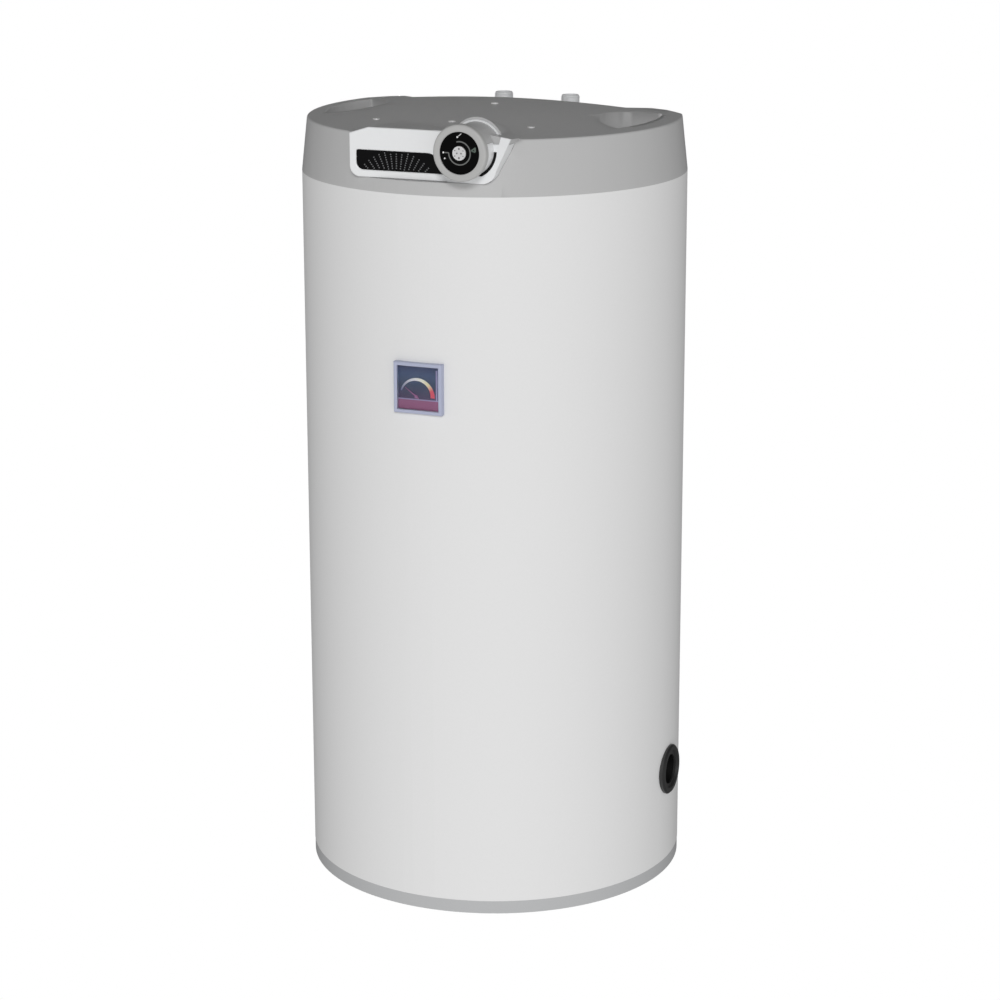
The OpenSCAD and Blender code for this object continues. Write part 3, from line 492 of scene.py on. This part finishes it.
def add_band(bm, centre, inner, outer, start, end, y, height, steps=48):
    """A flat printed band from one angle to another. Its radii are (at start, at end) pairs."""
    corners = [(inner[0], y), (outer[0], y), (outer[0], y - height), (inner[0], y - height)]
    first = [bm.verts.new((r, depth, 0)) for r, depth in corners]
    face = bm.faces.new(first)
    sweep = math.radians(end - start)
    known = set(bm.verts) - set(first)
    bmesh.ops.spin(
        bm, geom=[face, *face.edges, *first], cent=(0, 0, 0), axis=(0, -1, 0), angle=sweep,
        steps=steps,
    )
    fresh = [v for v in bm.verts if v not in known]
    for v in fresh:
        turn = math.atan2(v.co.z, v.co.x)
        turn += 2 * math.pi * round((sweep / 2 - turn) / (2 * math.pi))
        share = turn / sweep
        rim = outer if math.hypot(v.co.x, v.co.z) > (inner[0] + outer[0]) / 2 else inner
        radius = rim[0] + (rim[1] - rim[0]) * share
        v.co.x, v.co.z = radius * math.cos(turn), radius * math.sin(turn)
    place = Matrix.Translation((centre[0], 0, centre[1]))
    place = place @ Matrix.Rotation(-math.radians(start), 4, "Y")
    bmesh.ops.transform(bm, matrix=place, verts=fresh)
    bmesh.ops.recalc_face_normals(bm, faces=bm.faces)


# ---- operators ----


class HEATER_OT_stage(bpy.types.Operator):
    """Camera, white floor, studio glow, and lights in front and behind"""

    bl_idname = "heater.stage"
    bl_label = "Stage"

    sensor_mm = 36
    sun_degrees = 12
    floor_radius = 30

    def execute(self, context):
        scene = context.scene
        setup = scene.heater.stage
        lens = bpy.data.cameras.new("camera")
        lens.lens = setup.lens
        lens.sensor_width = self.sensor_mm
        camera = bpy.data.objects.new("camera", lens)
        aim = Matrix.Rotation(setup.pan, 4, "Z")
        aim = aim @ Matrix.Rotation(math.pi / 2 - setup.tilt, 4, "X")
        aim = aim @ Matrix.Rotation(setup.roll, 4, "Z")
        ahead = self.towards_camera(setup)
        spot = (setup.distance * ahead[0], setup.distance * ahead[1], setup.height)
        camera.matrix_world = Matrix.Translation(spot) @ aim
        scene.collection.objects.link(camera)
        scene.camera = camera

        # Name, strength, turn from the camera's heading, degrees up from straight down, and
        # whether it shows in reflections.
        lights = (
            ("front_light", setup.key, 0, 66, True),
            ("back_light", setup.fill, math.pi, 88, False),
        )
        for name, energy, turn, lean, reflected in lights:
            sun = bpy.data.lights.new(name, "SUN")
            sun.energy = energy
            sun.angle = math.radians(self.sun_degrees)
            lamp = bpy.data.objects.new(name, sun)
            heading = Matrix.Rotation(setup.pan + turn, 4, "Z")
            lamp.matrix_world = heading @ Matrix.Rotation(math.radians(lean), 4, "X")
            lamp.visible_glossy = reflected
            scene.collection.objects.link(lamp)
        scene.view_settings.view_transform = "Standard"
        self.floor(scene)
        self.glow(scene, setup)
        return {"FINISHED"}

    def towards_camera(self, setup):
        return math.sin(setup.around), -math.cos(setup.around), 0

    def floor(self, scene):
        """A white floor that the camera sees and that throws no light back on the heater."""
        bm = bmesh.new()
        bmesh.ops.create_circle(bm, cap_ends=True, radius=self.floor_radius, segments=64)
        mesh = bpy.data.meshes.new("floor")
        bm.to_mesh(mesh)
        bm.free()
        material, tree = blank("white_studio_floor")
        glow = add(tree, "ShaderNodeEmission", {"Color": (1, 1, 1, 1), "Strength": 1.0})
        add(tree, "ShaderNodeOutputMaterial", {}, {"Surface": glow.outputs["Emission"]})
        mesh.materials.append(material)
        floor = bpy.data.objects.new("floor", mesh)
        floor.visible_diffuse = floor.visible_glossy = floor.visible_shadow = False
        scene.collection.objects.link(floor)

    def glow(self, scene, setup):
        """White behind the heater, and walls that light it more than the ceiling does."""
        world = bpy.data.worlds.new("studio")
        world.use_nodes = True
        scene.world = world
        tree = world.node_tree
        tree.nodes.clear()
        place = add(tree, "ShaderNodeTexCoord")
        parts = add(tree, "ShaderNodeSeparateXYZ", {}, {"Vector": place.outputs["Generated"]})
        share = add(tree, "ShaderNodeMapRange", {"From Min": -1.0}, {"Value": parts.outputs["Z"]})
        levels = ((0.0, setup.below), (0.5, setup.horizon), (1.0, setup.zenith))
        stops = [(level, (grey, grey, grey, 1)) for level, grey in levels]
        walls = add(tree, "ShaderNodeValToRGB", {"stops": stops}, {"Fac": share.outputs["Result"]})
        path = add(tree, "ShaderNodeLightPath")
        facing = add(
            tree, "ShaderNodeVectorMath",
            {"operation": "DOT_PRODUCT", 1: self.towards_camera(setup)},
            {0: place.outputs["Generated"]},
        )
        dimmed = add(
            tree, "ShaderNodeMapRange",
            {"From Min": -1.0, "To Min": setup.behind, "To Max": setup.ahead},
            {"Value": facing.outputs["Value"]},
        )
        mirror = add(
            tree, "ShaderNodeMapRange", {"To Min": 1.0, "To Max": setup.mirrored},
            {"Value": path.outputs["Is Glossy Ray"]},
        )
        force = add(
            tree, "ShaderNodeMath", {"operation": "MULTIPLY"},
            {0: dimmed.outputs["Result"], 1: mirror.outputs["Result"]},
        )
        lit = add(
            tree, "ShaderNodeBackground", {},
            {"Color": walls.outputs["Color"], "Strength": force.outputs["Value"]},
        )
        seen = add(tree, "ShaderNodeBackground", {"Color": (1, 1, 1, 1)})
        both = add(
            tree, "ShaderNodeMixShader", {},
            {
                0: path.outputs["Is Camera Ray"], 1: lit.outputs["Background"],
                2: seen.outputs["Background"],
            },
        )
        add(tree, "ShaderNodeOutputWorld", {}, {"Surface": both.outputs["Shader"]})


class HEATER_OT_finishes(bpy.types.Operator):
    """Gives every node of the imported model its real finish"""

    bl_idname = "heater.finishes"
    bl_label = "Finishes"

    def execute(self, context):
        FINISHES.update(make_finishes(context.scene.heater.tones))
        for part in frame["record"]["subparts"]:
            mesh = frame["nodes"][part["node"]].data
            mesh.materials.clear()
            mesh.materials.append(FINISHES[part["material_slot"]])
        return {"FINISHED"}


class HEATER_OT_jacket(bpy.types.Operator):
    """Jacket, its seam, the blank plate and the base ring"""

    bl_idname = "heater.jacket"
    bl_label = "Jacket and base"

    def execute(self, context):
        sizes = context.scene.heater.sizes
        refined("outer_jacket", 0, "white_painted_steel")
        refined("jacket_seam_strip", sizes.metal_edge, "white_seam")
        refined("rating_plate", 0, "label_foil")
        refined("base_trim_ring", sizes.edge, "grey_trim_plastic")
        return {"FINISHED"}


class HEATER_OT_cap(bpy.types.Operator):
    """Cap with its screws, grommets and cable gland"""

    bl_idname = "heater.cap"
    bl_label = "Cap"

    def execute(self, context):
        sizes = context.scene.heater.sizes
        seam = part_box("outer_jacket")[1].z
        reach = half_width("top_cap")
        outermost, rim_inside, rim_height = reach * 0.96, reach * 0.93, 0.4 * MM
        corners = [v.co for v in frame["nodes"]["top_cap"].data.vertices]
        level = max(co.z for co in corners if co.x > outermost)

        def on_rim(co):
            at_rim = abs(co.z - level) < rim_height and co.z > seam
            return at_rim and math.hypot(co.x, co.y) > rim_inside

        refined("top_cap", sizes.rim_round, "grey_cap_plastic", where=on_rim)
        refined("cap_screws", sizes.metal_edge, "screw_steel")
        refined("pipe_grommets", sizes.metal_edge, "black_rubber")
        refined("cable_gland", sizes.metal_edge, "black_plastic")
        return {"FINISHED"}


class HEATER_OT_pipes(bpy.types.Operator):
    """The four threaded pipe ends, with real thread ridges"""

    bl_idname = "heater.pipes"
    bl_label = "Pipes"

    def execute(self, context):
        for mount in frame["record"]["mounts"]:
            if mount["name"] != "floor_face":
                self.pipe(mount, context.scene.heater.sizes)
        return {"FINISHED"}

    def pipe(self, mount, sizes):
        """A pipe turned on a lathe down to the thread's root, and a helical ridge round it."""
        finish = "zinc_plated_steel"
        node = mount["name"] + "_pipe"
        low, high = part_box(node)
        centre, outer = middle(node), half_width(node)
        pitch, edge = sizes.thread_pitch, sizes.edge
        crest = mount["dims"]["r_mm"] * MM
        root = crest - sizes.thread_depth
        thread = mount["dims"]["length_mm"] * MM
        wall = 3 * MM
        bore = outer - wall
        start = high.z - thread
        first = start + pitch
        outline = [
            (bore, low.z), (outer, low.z), (outer, start - edge), (outer - edge, start),
            (root, first), (root, high.z - edge), (root - edge, high.z), (bore, high.z),
        ]
        place = Matrix.Translation((centre.x, centre.y, 0))
        turned = lathe(outline, place, 64)
        piece(node + "_turned", turned, FINISHES[finish], "heater", (node,))

        # The ridge's foot is sunk in the root, so that no gap shows. Its rise and its foot are
        # shares of the pitch, and the pipe's two ends are left plain for 2.6 turns in all.
        sunk = 0.2 * MM
        rise, foot = pitch * 0.45, pitch * 0.9
        plain = 2.6 * pitch
        steps_per_turn = 36
        ridge = [(root - sunk, first), (crest, first + rise), (root - sunk, first + foot)]
        bm = bmesh.new()
        face = bm.faces.new([bm.verts.new((r, 0, z)) for r, z in ridge])
        turns = (thread - plain) / pitch
        steps = int(turns * steps_per_turn)
        bmesh.ops.spin(
            bm, geom=[face, *face.edges, *face.verts], cent=(0, 0, 0), axis=(0, 0, 1),
            dvec=(0, 0, turns * pitch / steps), angle=turns * 2 * math.pi, steps=steps,
        )
        bmesh.ops.recalc_face_normals(bm, faces=bm.faces)
        bmesh.ops.transform(bm, matrix=place, verts=bm.verts)
        piece(node + "_thread", bm, FINISHES[finish], "heater")


class HEATER_OT_panel(bpy.types.Operator):
    """Control panel, dark window with its dotted rays, and the hood's trim"""

    bl_idname = "heater.panel"
    bl_label = "Control panel"

    def execute(self, context):
        sizes = context.scene.heater.sizes
        window_depth = 0.8 * MM
        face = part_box("scale_window")[0].y - window_depth
        knob = middle("knob_body")

        # The knob's collar cuts the panel at an acute corner, so the rounding stops short of it.
        collar, hood = 33 * MM, 38.5 * MM
        clear = knob.x - collar

        def on_face(co):
            off = math.hypot(co.x - knob.x, co.z - knob.z)
            return abs(co.y - face) < NEAR and co.x < clear + NEAR and off > hood

        refined(
            "control_panel", sizes.panel_round, "white_panel_plastic", where=on_face,
            split_x=clear,
        )
        refined("scale_window", 0, "black_gloss_plastic")
        refined("hood_trim", sizes.edge * 0.6, "white_panel_plastic")
        self.rays(sizes)
        return {"FINISHED"}

    def rays(self, sizes):
        """A fan of dots whose rays meet under the window."""
        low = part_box("scale_window")[0]
        hub_x, hub_z = low.x + 58.5 * MM, low.z - 36.5 * MM
        left, right = low.x + 9 * MM, 16 * MM
        bottom, top = low.z + 4 * MM, low.z + 25 * MM
        first_dot, dots, spread = 42.5 * MM, 8, 7.5
        bm = bmesh.new()
        middle_ray = (sizes.ray_count - 1) / 2
        for i in range(sizes.ray_count):
            lean = math.radians(spread * (i - middle_ray))
            for j in range(dots):
                reach = first_dot + j * sizes.ray_step
                x, z = hub_x + reach * math.sin(lean), hub_z + reach * math.cos(lean)
                if left < x < right and bottom < z < top:
                    add_dot(bm, x, low.y, z, sizes.ray_dot, sizes.ink, 8)
        piece("window_dots", bm, printing_ink("grey_window_ink", "#6a6a6c"))


class HEATER_OT_knob(bpy.types.Operator):
    """Knob with its rounded grip, dial, printed marks and hub"""

    bl_idname = "heater.knob"
    bl_label = "Knob"

    def execute(self, context):
        sizes = context.scene.heater.sizes
        low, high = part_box("knob_body")
        centre = middle("knob_body")
        outer, dial = half_width("knob_body"), half_width("knob_dial")
        r = sizes.knob_round
        depth, back = 9.7 * MM, high.y - low.y
        seat, lip, chamfer = 4 * MM, 1.2 * MM, 0.5 * MM
        skirt, web = outer - 3 * MM, 6.5 * MM
        boss, bore, bore_end = 9 * MM, 3 * MM, depth - 2 * MM
        outline = [
            (0, seat), (dial, seat), (dial, lip), *arc(dial + lip, lip, lip, 180, 270, 4),
            *arc(outer - r, r, r, -90, 0, 8), (outer, depth - chamfer), (outer - chamfer, depth),
            (skirt, depth), (skirt, web), (boss, web), (boss, back), (bore, back),
            (bore, bore_end), (0, bore_end),
        ]
        grip = lathe(outline, facing_front(centre.x, low.y, centre.z), 128, False)
        finish = "knob_grey_plastic"
        piece("knob_grip", grip, FINISHES[finish], "knob", ("knob_body",))
        refined("knob_dial", sizes.metal_edge, "dial_black", "knob")
        refined("knob_hub", 0.15 * MM, "hub_grey", "knob")
        self.spots(sizes, centre)
        self.marks(sizes, centre)
        return {"FINISHED"}

    def spots(self, sizes, centre):
        """Dots printed on the hub, each as degrees from the top, reach and radius in mm."""
        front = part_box("knob_hub")[0].y
        hub = bmesh.new()
        for angle, reach, radius in (
            (0, 5.8, 1.4), (180, 5.8, 1.4), (90, 2.9, 1.1), (270, 2.9, 1.1),
            (58, 6.6, 0.8), (122, 6.6, 0.8), (238, 6.6, 0.8), (302, 6.6, 0.8),
        ):
            turn = math.radians(angle)
            x = centre.x + reach * MM * math.sin(turn)
            z = centre.z + reach * MM * math.cos(turn)
            add_dot(hub, x, front, z, radius * MM, sizes.ink)
        piece("hub_spots", hub, printing_ink("grey_hub_ink", "#7d7d7d"), "knob")

    def marks(self, sizes, centre):
        """Arc, dots and ticks printed on the dial. Points are (degrees, reach in mm)."""
        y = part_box("knob_dial")[0].y

        def at(angle, reach):
            turn = math.radians(angle)
            x = centre.x + reach * MM * math.cos(turn)
            return x, centre.z + reach * MM * math.sin(turn)

        pale = bmesh.new()
        for spot, radius in (((180, 22), 1.2), ((200, 21.5), 1.1), ((98, 20.5), 1.2)):
            x, z = at(*spot)
            add_dot(pale, x, y, z, radius * MM, sizes.ink)
        add_bar(pale, at(94, 21.5), at(84, 25), 0.8 * MM, y, sizes.ink)
        piece("dial_marks", pale, printing_ink("white_dial_ink", "#e6e6e6"), "knob")

        line = bmesh.new()
        inner, outer = 13.9 * MM, 15.5 * MM
        add_band(
            line, (centre.x, centre.z), (inner, inner), (outer, outer), -180, 106, y,
            sizes.ink, 64,
        )
        add_bar(line, at(180, 14.7), at(180, 20), 1.4 * MM, y, sizes.ink)
        piece("dial_arc", line, printing_ink("grey_dial_ink", "#6f716f"), "knob")

        # Each bar of the leaf has its own height, so that no two faces lie in one plane.
        leaf = bmesh.new()
        for start, end, width, share in (
            ((14, 16.5), (20, 23.5), 1.8, 1), ((14, 16.5), (6, 21.5), 1.6, 0.8),
            ((20, 22.5), (7, 21.5), 2.4, 0.6),
        ):
            add_bar(leaf, at(*start), at(*end), width * MM, y, sizes.ink * share)
        piece("dial_leaf", leaf, printing_ink("green_dial_ink", "#58655c"), "knob")


class HEATER_OT_thermometer(bpy.types.Operator):
    """Thermometer's frame and needle, and the coloured band and lines printed on its card; the card and its clear
    cover keep their imported shapes
    """

    bl_idname = "heater.thermometer"
    bl_label = "Thermometer"

    def execute(self, context):
        sizes = context.scene.heater.sizes
        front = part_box("thermometer_frame")[0].y

        def on_front(co):
            return co.y - front < NEAR

        refined("thermometer_frame", sizes.frame_round, "gauge_frame", where=on_front)
        refined("thermometer_needle", 0, "needle_pink", "needle")
        low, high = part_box("thermometer_face")
        pin = next(j["pos_m"] for j in frame["joints"] if j["name"] == "needle_turn")
        y = low.y
        self.band(sizes, pin, y)

        # The lines and the strip differ in height, so that no two faces lie in one plane.
        under = sizes.ink * 0.8
        rule = bmesh.new()
        rule_z, rule_width = middle("thermometer_face").z - 15.5 * MM, 1.6 * MM
        rule_top, rule_bottom = rule_z + rule_width / 2, rule_z - rule_width / 2
        add_bar(rule, (low.x, rule_z), (high.x, rule_z), rule_width, y, sizes.ink)
        side_x, side_width, side_gap = 25.6 * MM, 2 * MM, 4 * MM
        add_bar(rule, (side_x, rule_top), (side_x, high.z - side_gap), side_width, y, under)
        piece("card_lines", rule, printing_ink("lilac_card_ink", "#a39cc4"))

        strip = bmesh.new()
        strip_z = (low.z + rule_bottom) / 2
        add_bar(strip, (low.x, strip_z), (high.x, strip_z), rule_bottom - low.z, y, under)
        piece("card_strip", strip, printing_ink("rose_card_ink", "#9c6288"))
        return {"FINISHED"}

    def band(self, sizes, pin, y):
        """Coloured band round the needle's pin, narrowing from the hot end to the cold one."""
        hot_end, cold_end = -2, 163
        inner, outer = (19.5 * MM, 22 * MM), (25.5 * MM, 24 * MM)
        bm = bmesh.new()
        add_band(bm, (pin[0], pin[2]), inner, outer, hot_end, cold_end, y, sizes.ink)
        piece("temperature_band", bm, temperature_ink(Vector((pin[0], 0, pin[2]))))


class HEATER_OT_port(bpy.types.Operator):
    """Side port's rosette and plug, and the dark sleeve between them"""

    bl_idname = "heater.port"
    bl_label = "Side port"

    def execute(self, context):
        sizes = context.scene.heater.sizes
        refined("side_port_rosette", sizes.edge * 0.6, "black_plastic")
        refined("side_port_plug", sizes.metal_edge, "black_plastic")
        low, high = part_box("side_port_plug")
        centre, bore = middle("side_port_plug"), (high.z - low.z) / 2
        gap, wall = 0.1 * MM, 1.2 * MM
        outer, inner = bore - gap, bore - gap - wall
        back, front = high.x + gap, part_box("outer_jacket")[1].x - gap
        outline = [(inner, back), (outer, back), (outer, front), (inner, front)]
        place = Matrix.Translation((0, centre.y, centre.z))
        place = place @ Matrix.Rotation(math.radians(90), 4, "Y")
        sleeve = lathe(outline, place)
        piece("port_sleeve", sleeve, FINISHES["black_rubber"], "heater")
        return {"FINISHED"}


class HEATER_PT_heater(bpy.types.Panel):
    """Sizes, tones and builders of the heater"""

    bl_label = "Tank Water Heater"
    bl_idname = "HEATER_PT_heater"
    bl_space_type = "VIEW_3D"
    bl_region_type = "UI"
    bl_category = "Heater"

    def draw(self, context):
        heater = context.scene.heater
        for group in (heater.sizes, heater.tones, heater.stage):
            box = self.layout.box()
            for name in group.bl_rna.properties.keys():
                if name not in ("rna_type", "name"):
                    box.prop(group, name)
        for operator in OPERATORS:
            self.layout.operator(operator.bl_idname)


OPERATORS = (
    HEATER_OT_stage, HEATER_OT_finishes, HEATER_OT_jacket, HEATER_OT_cap, HEATER_OT_pipes,
    HEATER_OT_panel, HEATER_OT_knob, HEATER_OT_thermometer, HEATER_OT_port,
)
CLASSES = (HeaterSizes, HeaterTones, HeaterStage, HeaterSettings, *OPERATORS, HEATER_PT_heater)


def register():
    for cls in CLASSES:
        bpy.utils.register_class(cls)
    bpy.types.Scene.heater = PointerProperty(type=HeaterSettings)


def unregister():
    del bpy.types.Scene.heater
    for cls in reversed(CLASSES):
        bpy.utils.unregister_class(cls)


def main():
    register()
    bpy.ops.heater.stage()
    bpy.ops.heater.finishes()
    bpy.ops.heater.jacket()
    bpy.ops.heater.cap()
    bpy.ops.heater.pipes()
    bpy.ops.heater.panel()
    bpy.ops.heater.knob()
    bpy.ops.heater.thermometer()
    bpy.ops.heater.port()


if __name__ == "__main__":
    main()
